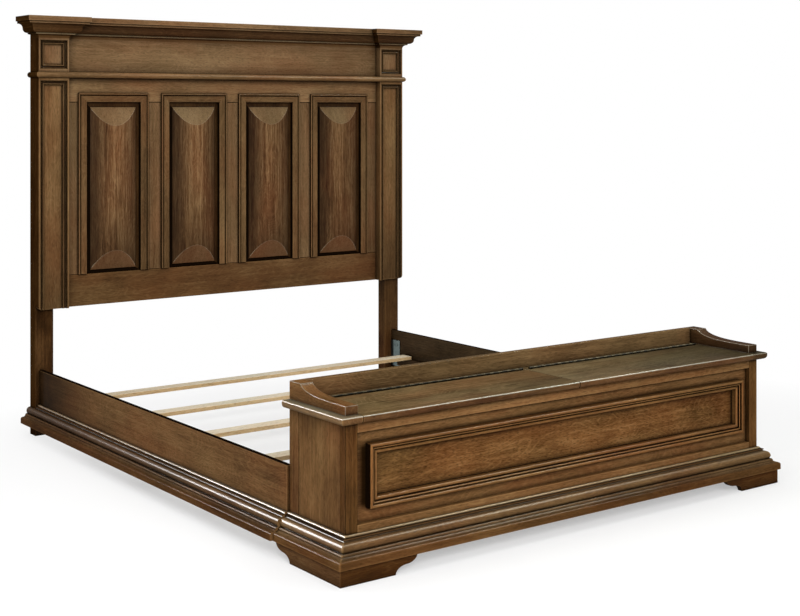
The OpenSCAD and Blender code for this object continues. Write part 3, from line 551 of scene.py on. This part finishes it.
bare_pine = dict(mottle=0.3, red=(222, 196, 158), wear_and_highlight=0.0, glaze_shade_colour=(110, 84, 56), glaze_shade_strength=0.3,
                 rough=0.62, coat=0.02)
smiles = dict(figure=0.1, wear_and_highlight=0.0, arris=field_arris, coat=0.0,
              fades=[("Z", panel_lo.z + 0.5, panel_lo.z + 0.02, 0.4)])
FINISHES = {
    # tone, or tone_axis for one direction of the grain: what differs from a plain wood()
    "leg": dict(mottle=1.0),
    "leg_right": dict(mottle=1.0),
    "post": dict(wear_and_highlight=0.12, coat=0.0),
    "seam": dict(mottle=0.2, pores=0.2, wear_and_highlight=0.0, coat=0.0),
    "pilaster": dict(fades=[("Z", panel_lo.z + 0.35, panel_lo.z - 0.1, 0.5)]),
    "top_rail": dict(glaze_shade_strength=0.8, wide_mm=40),
    # panel: painted shade on the bow's flanks, a painted highlight on the arris with painted
    # shade in its gap, and darker towards the bottom
    "panel": dict(drift=0.4, fibre=1.25, flanks=0.85, wear_and_highlight=0.0, arris=field_arris, coat=0.02,
                  fades=[("Z", panel_lo.z + 0.3, panel_lo.z + 0.04, 0.75)]),
    "smile": smiles,
    "smile_low": smiles,
    "cyma": dict(mottle=0.3, coat=0.03),
    "cyma_left": dict(mottle=0.3, coat=0.03),
    "low_mould": dict(glaze_shade_strength=1.15, line_mm=13, near_full=0.72, coat=0.03),
    "sunk": dict(wear_and_highlight=0.2, glaze_shade_strength=1.3, line_mm=15, near_full=0.72, coat=0.02),
    "half_round": dict(coat=0.04, sheen=0.3),
    "mould": dict(coat=0.09, sheen=0.33),
    "mould_Y": dict(coat=0.2, sheen=0.33),
    "mould_rail": dict(fades=[("Y", head_y - 1.8, head_y - 0.1, 0.55)], coat=0.12, sheen=0.27),
    "rail_end": dict(wear_and_highlight=0.0, glaze_shade_strength=0.1, coat=0.0),
    "quirk": dict(wear_and_highlight=0.0, coat=0.02),
    "bead": dict(coat=0.16, sheen=0.28),
    "bead_Y": dict(coat=0.3, sheen=0.28),
    "plinth": dict(coat=0.03),
    "rail": dict(fades=[("Y", head_y - 0.6, head_y - 0.1, 1.0)]),
    "slat": bare_pine,
    "slat_edge": bare_pine,
    "bench": dict(figure=0.5),
    "side_Z": dict(mottle=1.0, figure=0.15, fibre=0.5),
    "side_Y": dict(glaze_shade_strength=0.6, wide_mm=30),
    "band": dict(speckle=30.0, glaze_shade_strength=0.5, wide_mm=25),
    # frame: painted shade beside the bolection moulding
    "frame": dict(speckle=30.0, glaze_shade_strength=0.85, wide_mm=25,
                  hollow=(bolt_hi.x, (bolt_lo.z + bolt_hi.z) / 2, (bolt_hi.z - bolt_lo.z) / 2)),
    "panel_figure": dict(mottle=0.9, figure=0.5, fibre=0.75, speckle=60.0, pores=0.8),
    "bolt": dict(coat=0.08, sheen=0.26),
    "inside": dict(glaze_shade_strength=0.5),
    "gallery": dict(glaze_shade_strength=0.8, wide_mm=40),
    "top": dict(figure=0.4, fades=[("X", -0.36, -0.1, 0.35)], glaze_shade_strength=0.8, wide_mm=40,
                coat=0.03),
    "top_right": dict(figure=0.4, fades=[("X", 0.32, 0.8, 0.62)], glaze_shade_strength=0.7, wide_mm=40,
                      coat=0.05),
    "cap": dict(glaze_shade_strength=0.5, wide_mm=30, coat=0.1, sheen=0.3),
    "nose": dict(line_mm=14, coat=0.1),
    "nose_dark": dict(line_mm=14, coat=0.05),
    "lip": dict(mottle=0.3, glaze_shade_strength=0.6, coat=0.12, sheen=0.3),
    "lip_dark": dict(mottle=0.3, glaze_shade_strength=0.6, coat=0.1),
}
made = {}


def timber(finish):
    """The timber of a finish such as "head_X": its tone, then its grain's axis."""
    if finish not in made:
        tone, axis = finish.rsplit("_", 1)
        changes = FINISHES.get(finish, FINISHES.get(tone, {}))
        made[finish] = wood(finish, axis, TONES[tone], **changes)
    return made[finish]


def soften(obj, width_mm, angle, edge_slot=-1):
    """Joins the solid's triangles into faces, rounds its edges that turn by more than angle,
    and shades its curves smooth. edge_slot is the rounding's material, or -1 for its
    neighbour's."""
    me = obj.data
    for name in ("custom_normal", "sharp_edge"):
        if name in me.attributes:
            me.attributes.remove(me.attributes[name])
    me.polygons.foreach_set("use_smooth", [True] * len(me.polygons))
    weld = obj.modifiers.new("weld", "WELD")
    weld.merge_threshold = 0.00002
    flat = obj.modifiers.new("faces", "DECIMATE")
    flat.decimate_type = "DISSOLVE"
    flat.angle_limit = math.radians(0.3)
    flat.delimit = {"MATERIAL"}
    bevel = obj.modifiers.new("edges", "BEVEL")
    bevel.width = width_mm / 1000
    bevel.segments = 2
    bevel.limit_method = "ANGLE"
    bevel.angle_limit = math.radians(angle)
    bevel.material = edge_slot
    bevel.use_clamp_overlap = edge_slot < 0
    even = obj.modifiers.new("normals", "WEIGHTED_NORMAL")
    even.mode = "FACE_AREA"
    even.weight = 70


def dress(names, finishes, pick=None, width_mm=0.8, angle=30, edge=None):
    """Gives nodes their finish and softens them. finishes is one finish, or one for each part
    of the surface, and pick(centre, normal) names the part that a face belongs to. edge is a
    finish of its own for the rounded edges."""
    if not pick:
        finishes = {"all": finishes}
    parts = list(finishes)
    mats = [timber(finish) for finish in finishes.values()]
    for name in names.split():
        obj = nodes[name]
        obj.data.materials.clear()
        for mat in mats:
            obj.data.materials.append(mat)
        if edge:
            obj.data.materials.append(timber(edge))
        if pick:
            for face in obj.data.polygons:
                face.material_index = parts.index(pick(face.center, face.normal))
        soften(obj, width_mm, angle, len(mats) if edge else -1)


# Limits on a face's normal, as its share along an axis
SQUARE = 0.9        # the face is square to the axis
UPWARD = 0.8        # a flat top, up to where its nosing turns over
TOWARDS = 0.5       # the face looks that way more than any other
UPRIGHT = 0.1       # along Z, below it: an upright face
SLANT = 0.05        # along X, above it: a return, not a straight run

# ---------------------------------------------------------------- headboard


# The posts' outer sides take the dark post tone: painted shade
def post_part(c, n):
    return "outer" if abs(n.x) > SQUARE and abs(c.x) > post_side else "front"


def pilaster_part(c, n):
    if post_part(c, n) == "outer":
        return "outer"
    return "block" if c.z > block_foot else "front"


# The astragal's returns take the dark post tone: painted shade
def astragal_part(c, n):
    return "return" if abs(n.x) > SLANT or abs(c.x) > post_side else "front"


dress("headboard_post_left", {"front": "leg_Z", "outer": "post_Z"}, post_part)
dress("headboard_post_right", {"front": "leg_right_Z", "outer": "post_Z"}, post_part)
# The stiles' sides in the panel openings take a near-black tone, painted shade; their edges are
# dark joints
dress("headboard_stiles", {"front": "head_Z", "side": "seam_Z"},
      lambda c, n: "side" if abs(n.x) > SQUARE else "front", width_mm=2.0, edge="seam_Z")
dress("pilaster_left pilaster_right",
      {"front": "pilaster_Z", "outer": "post_Z", "block": "head_Z"}, pilaster_part,
      width_mm=1.2)
dress("frieze_board", "head_X", edge="seam_X")
dress("headboard_top_rail", "top_rail_X", width_mm=2.0, edge="seam_X")
# The bottom rail's top, in the openings, takes a near-black tone: painted shade
dress("headboard_bottom_rail", {"front": "low_X", "top": "seam_X"},
      lambda c, n: "top" if n.z > SQUARE else "front", edge="seam_X")
dress("crown_cap_board", "head_X")
# The board's front, seen in the gaps round the panels, takes a near-black tone: painted shade
dress("headboard_back", {"front": "seam_Z", "back": "board_Z"},
      lambda c, n: "back" if n.y > TOWARDS else "front")
dress("astragal", {"front": "half_round_X", "return": "post_X"}, astragal_part,
      width_mm=0.6)


RIM_FROM = 0.924    # of the way from a panel's middle to its field's right edge
rim_right = RIM_FROM * field_half / panel_pitch
rim_above = field_hi + 0.002
ends_split = panel_lo.z + 0.4       # between a panel's lower and upper sloped end


def panel_part(c, n):
    """The bow, its two sloped ends, and the rim with the walls round it. The ends are painted
    lighter than the bow and the rim near-black, as painted light and shade; light reaches the
    rim on the right and above, and there it is painted lighter."""
    if n.y > -TOWARDS or c.y > rim_y:
        across = (c.x - panel_2_x) / panel_pitch % 1.0
        right = rim_right < across < 0.5
        lit = n.y < -TOWARDS and (right or c.z > rim_above)
        return "lit rim" if lit else "rim"
    if abs(n.z) < UPRIGHT:
        return "bow"
    return "upper end" if c.z > ends_split else "lower end"


dress("raised_panel_1 raised_panel_2 raised_panel_3 raised_panel_4",
      {"bow": "panel_Z", "upper end": "smile_Z", "rim": "seam_Z", "lower end": "smile_low_Z",
       "lit rim": "leg_Z"}, panel_part, width_mm=1.0, angle=12)

# The crown's profile, as heights above its foot: cove, pale fillet, cyma and the fascia.
# The cove and cyma take dark tones, painted shade under the cap, the pale fillet is a painted
# highlight, and the returns take the dark post tone, painted shade.
COVE_TOP, FILLET_TOP, CYMA_TOP = 0.0165, 0.0235, 0.0632


def crown_part(c, n):
    height = c.z - crown_foot
    if abs(n.x) > SLANT or c.y > crown_back:
        return "return"
    if height < COVE_TOP:
        return "cyma"
    if height < FILLET_TOP:
        return "fillet"
    return "cyma" if height < CYMA_TOP else "fascia"


CROWN = {"fascia": "head_X", "cyma": "cyma_X", "fillet": "bead_X", "return": "post_Y"}
dress("crown_right crown_center", CROWN, crown_part)
dress("crown_left", {**CROWN, "cyma": "cyma_left_X"}, crown_part)


def is_wall(n):
    """Upright walls and undersides of a moulding take a near-black tone: painted shade."""
    return abs(n.x) > SQUARE or n.z < -SQUARE


def panel_moulding_part(c, n):
    if is_wall(n):
        return "wall"
    return "top" if c.z > stile_top else "upright"


def pilaster_moulding_part(c, n):
    """The slopes that look left or down lie in shade and take a darker tone: painted shade.
    Level runs slope along Z alone.
    """
    shaded, straight = -0.25, 0.02
    if is_wall(n):
        return "wall"
    if n.x < shaded or n.z < shaded:
        return "shaded"
    return "level" if abs(n.x) < straight and abs(n.z) > straight else "upright"


dress("panel_mouldings", {"top": "low_mould_X", "upright": "low_mould_Z", "wall": "seam_Z"},
      panel_moulding_part, width_mm=1.2, edge="seam_Z")
dress("pilaster_moulding_left pilaster_moulding_right",
      {"level": "low_mould_X", "upright": "low_mould_Z", "wall": "seam_Z",
       "shaded": "sunk_Z"}, pilaster_moulding_part)

# ---------------------------------------------------------------- base mouldings
# The profile, as heights above its foot: plinth, scoop, two rolls, neck and bead. The neck
# and the undersides of the rolls take dark tones, painted shade, and the bead a pale one, a
# painted highlight.
PLINTH_TOP, SCOOP_TOP, NECK_FOOT, BEAD_FOOT = 0.0265, 0.0425, 0.0745, 0.0795
UNDERCUT = -0.75    # a normal's share along Z below which the face is under a roll


def base_part(c, n):
    """A part of the profile, or the end that a rail's moulding turns to the bench."""
    height = c.z - base_foot
    if n.y < -SQUARE and c.y > bench_back:
        return "end"
    if height < PLINTH_TOP:
        return "plinth"
    if n.z < UNDERCUT:
        return "neck"
    if height < SCOOP_TOP:
        return "scoop"
    if height > BEAD_FOOT:
        return "bead"
    return "neck" if height > NECK_FOOT else "roll"


def base_finishes(axis, roll="mould", neck="cyma"):
    tones = {"roll": roll, "neck": neck, "plinth": "plinth", "bead": "bead",
             "scoop": "low_mould", "end": "rail_end"}
    return {part: tone + "_" + axis for part, tone in tones.items()}


dress("base_moulding_left base_moulding_right", base_finishes("Y", neck="quirk"), base_part)
dress("base_moulding_front", base_finishes("X"), base_part)
dress("rail_moulding_left rail_moulding_right", base_finishes("Y", roll="mould_rail"),
      base_part)

# ---------------------------------------------------------------- rails and slats


def rail_part(c, n):
    if n.z > SQUARE:
        return "top"
    return "inner" if abs(c.x) < inner_rail else "outer"


dress("side_rail_left side_rail_right",
      {"outer": "rail_Y", "inner": "dark_rail_Y", "top": "seam_Y"}, rail_part)
dress("slat_cleats", "dark_rail_Y")
dress("slat_1 slat_2 slat_3 slat_4 slat_5", {"top": "slat_X", "edge": "slat_edge_X"},
      lambda c, n: "edge" if abs(n.z) < TOWARDS else "top", width_mm=1.2)

# ---------------------------------------------------------------- bench


def bolection_part(c, n):
    """The moulding's two uprights, their walls, which take a near-black tone as painted shade,
    and its level runs.
    """
    upright = abs(c.x) > front_half
    if upright and abs(n.x) > SQUARE:
        return "wall"
    return "upright" if upright else "level"


# The upper round of a nosing, its lip, catches the light and takes a pale tone there, a
# painted highlight: more of it on the left than on the right.
LIP, LIP_RIGHT = 0.2, 0.4
GALLERY_NOSE = 0.6
FOOT_SIDE = 0.7


def gallery_end_part(c, n):
    if c.x > 0:
        return "right"
    return "nose" if n.y < -GALLERY_NOSE else "left"


def cap_left_part(c, n):
    if n.z > UPWARD:
        return "top"
    if n.x < -TOWARDS:
        return "outer"
    return "lip" if n.z > LIP else "nose"


def cap_right_part(c, n):
    if n.z > UPWARD:
        return "top"
    return "lip" if n.z > LIP_RIGHT and n.y < -LIP_RIGHT else "nose"


def lid_part(c, n):
    if abs(n.x) > SQUARE:
        return "end"
    if n.z > UPWARD:
        return "top"
    return "lip" if n.z > LIP and n.y < 0 else "nose"


dress("bench_side_panels bench_back_stiles", "side_Z", width_mm=1.4, edge="seam_Z")
dress("bench_post_left bench_post_right", "corner_Z", width_mm=1.4, edge="seam_Z")
dress("bench_back_panel", "bench_X")
dress("bench_bottom bench_divider", "inside_X")
dress("bench_front_bands", "band_X")
dress("bench_front_panel", "panel_figure_X")
dress("bench_front_frame", "frame_X", edge="seam_X")
dress("bolection_moulding", {"level": "bolt_X", "upright": "bolt_Z", "wall": "seam_Z"},
      bolection_part, width_mm=0.6, angle=38)
# The feet's sides take a lighter tone than their fronts: painted light
dress("foot_left foot_right", {"front": "foot_X", "side": "foot_side_Y"},
      lambda c, n: "side" if abs(n.x) > FOOT_SIDE else "front", width_mm=1.5, angle=40)
dress("gallery_back", "gallery_X")
# The gallery ends' rounded edges take the pale lip tone: painted highlight
dress("gallery_ends", {"left": "side_Y", "nose": "nose_Y", "right": "nose_dark_Y"},
      gallery_end_part, width_mm=1.6, angle=40, edge="lip_dark_Y")
dress("end_cap_left", {"top": "cap_Y", "nose": "nose_Y", "lip": "lip_Y", "outer": "mould_Y"},
      cap_left_part)
dress("end_cap_right", {"top": "cap_right_Y", "nose": "nose_dark_Y", "lip": "lip_dark_Y"},
      cap_right_part)
LID = {"top": "top_X", "nose": "nose_X", "end": "seam_X", "lip": "lip_X"}
dress("hinge_rail lid_left", LID, lid_part)
dress("lid_right", {**LID, "top": "top_right_X"}, lid_part)

# ---------------------------------------------------------------- metal
bronze = metal("aged_bronze", (18, 15, 10), 0.68, 0.7)
lid_bronze = metal("rubbed_bronze", (34, 28, 18), 0.6, 0.6)
steel = metal("zinc_steel", (66, 74, 73), 0.42, 0.8)
for name, mat in (("hinge_fixed_leaves", bronze), ("hinge_leaf_left", lid_bronze),
                  ("hinge_leaf_right", lid_bronze), ("hinge_pins", bronze),
                  ("rail_hook_plates", steel), ("hook_plate_screws", steel)):
    nodes[name].data.materials.clear()
    nodes[name].data.materials.append(mat)
    soften(nodes[name], width_mm=0.2, angle=35)

# The screws of the hinge leaves: flush heads with cross slots
HEAD_RADIUS, TOP_RADIUS, HEAD_SIDES = 0.0031, 0.0025, 24
HEAD_RISE, SLOT_RISE, SLOT_FLOOR = 0.0002, 0.00025, 0.00002     # above the leaf's face
SLOT_ARM, SLOT_HALF, PIT = 0.0016, 0.00035, 0.8                 # PIT narrows the slot's floor
SCREW_TURN = 0.7        # radians from one screw's slot to the next
SLOT = [(SLOT_ARM, -SLOT_HALF), (SLOT_ARM, SLOT_HALF), (SLOT_HALF, SLOT_HALF),
        (SLOT_HALF, SLOT_ARM), (-SLOT_HALF, SLOT_ARM), (-SLOT_HALF, SLOT_HALF),
        (-SLOT_ARM, SLOT_HALF), (-SLOT_ARM, -SLOT_HALF), (-SLOT_HALF, -SLOT_HALF),
        (-SLOT_HALF, -SLOT_ARM), (SLOT_HALF, -SLOT_ARM), (SLOT_HALF, -SLOT_HALF)]


def circle(radius):
    """The outline of a screw's head."""
    angles = [i * math.tau / HEAD_SIDES for i in range(HEAD_SIDES)]
    return [(radius * math.cos(a), radius * math.sin(a)) for a in angles]


def turned(points, angle):
    cos, sin = math.cos(angle), math.sin(angle)
    return [(u * cos - v * sin, u * sin + v * cos) for u, v in points]


def leaf_screws(name, body, xs, y, z, facing):
    """The screw heads of one leaf, whose face is at y and looks along facing times Y."""
    bm = bmesh.new()

    def ring(x, outline, rise, k=1.0):
        return [bm.verts.new((x + u * k, y + facing * rise, z + v * k)) for u, v in outline]

    for number, x in enumerate(xs):
        cross = turned(SLOT, SCREW_TURN * number)
        rim = ring(x, circle(HEAD_RADIUS), 0)
        top = ring(x, circle(TOP_RADIUS), HEAD_RISE)
        lip = ring(x, cross, SLOT_RISE)
        pit = ring(x, cross, SLOT_FLOOR, PIT)
        for outer, inner in ((rim, top), (lip, pit)):
            for i in range(len(outer)):
                j = (i + 1) % len(outer)
                bm.faces.new((outer[i], outer[j], inner[j], inner[i]))
        bm.faces.new(pit)
        edges = []
        for loop in (top, lip):
            for i in range(len(loop)):
                ends = loop[i], loop[(i + 1) % len(loop)]
                edges.append(bm.edges.get(ends) or bm.edges.new(ends))
        bmesh.ops.bridge_loops(bm, edges=edges)
    bmesh.ops.recalc_face_normals(bm, faces=bm.faces)
    me = bpy.data.meshes.new(name)
    bm.to_mesh(me)
    bm.free()
    me.materials.append(lid_bronze)
    obj = bpy.data.objects.new(name, me)
    scene.collection.objects.link(obj)
    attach(obj, body)


SCREWS, FIRST_SCREW, SCREW_PITCH = 9, 0.05, 0.1     # per lid, from the hinge leaf's inner end
SCREW_UP = 0.0105       # above the leaf's lower edge
LID_STEP = 0.012        # a lid's screws stand this far inward of the rail's
FACE_OFF_AXIS = 0.0004  # from the pin's axis to a leaf's face
leaf_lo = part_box("hinge_leaf_right")[0]
pin_lo, pin_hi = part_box("hinge_pins")
axis_y = (pin_lo.y + pin_hi.y) / 2
screw_z = leaf_lo.z + SCREW_UP
screw_xs = [leaf_lo.x + FIRST_SCREW + SCREW_PITCH * i for i in range(SCREWS)]
leaf_screws("leaf_screws_bed", "bed", screw_xs + [-x for x in screw_xs],
            axis_y + FACE_OFF_AXIS, screw_z, -1)
leaf_screws("leaf_screws_left", "left_lid", [-x + LID_STEP for x in screw_xs],
            axis_y - FACE_OFF_AXIS, screw_z, 1)
leaf_screws("leaf_screws_right", "right_lid", [x - LID_STEP for x in screw_xs],
            axis_y - FACE_OFF_AXIS, screw_z, 1)

scene.view_settings.view_transform = "Standard"
bpy.context.view_layer.update()
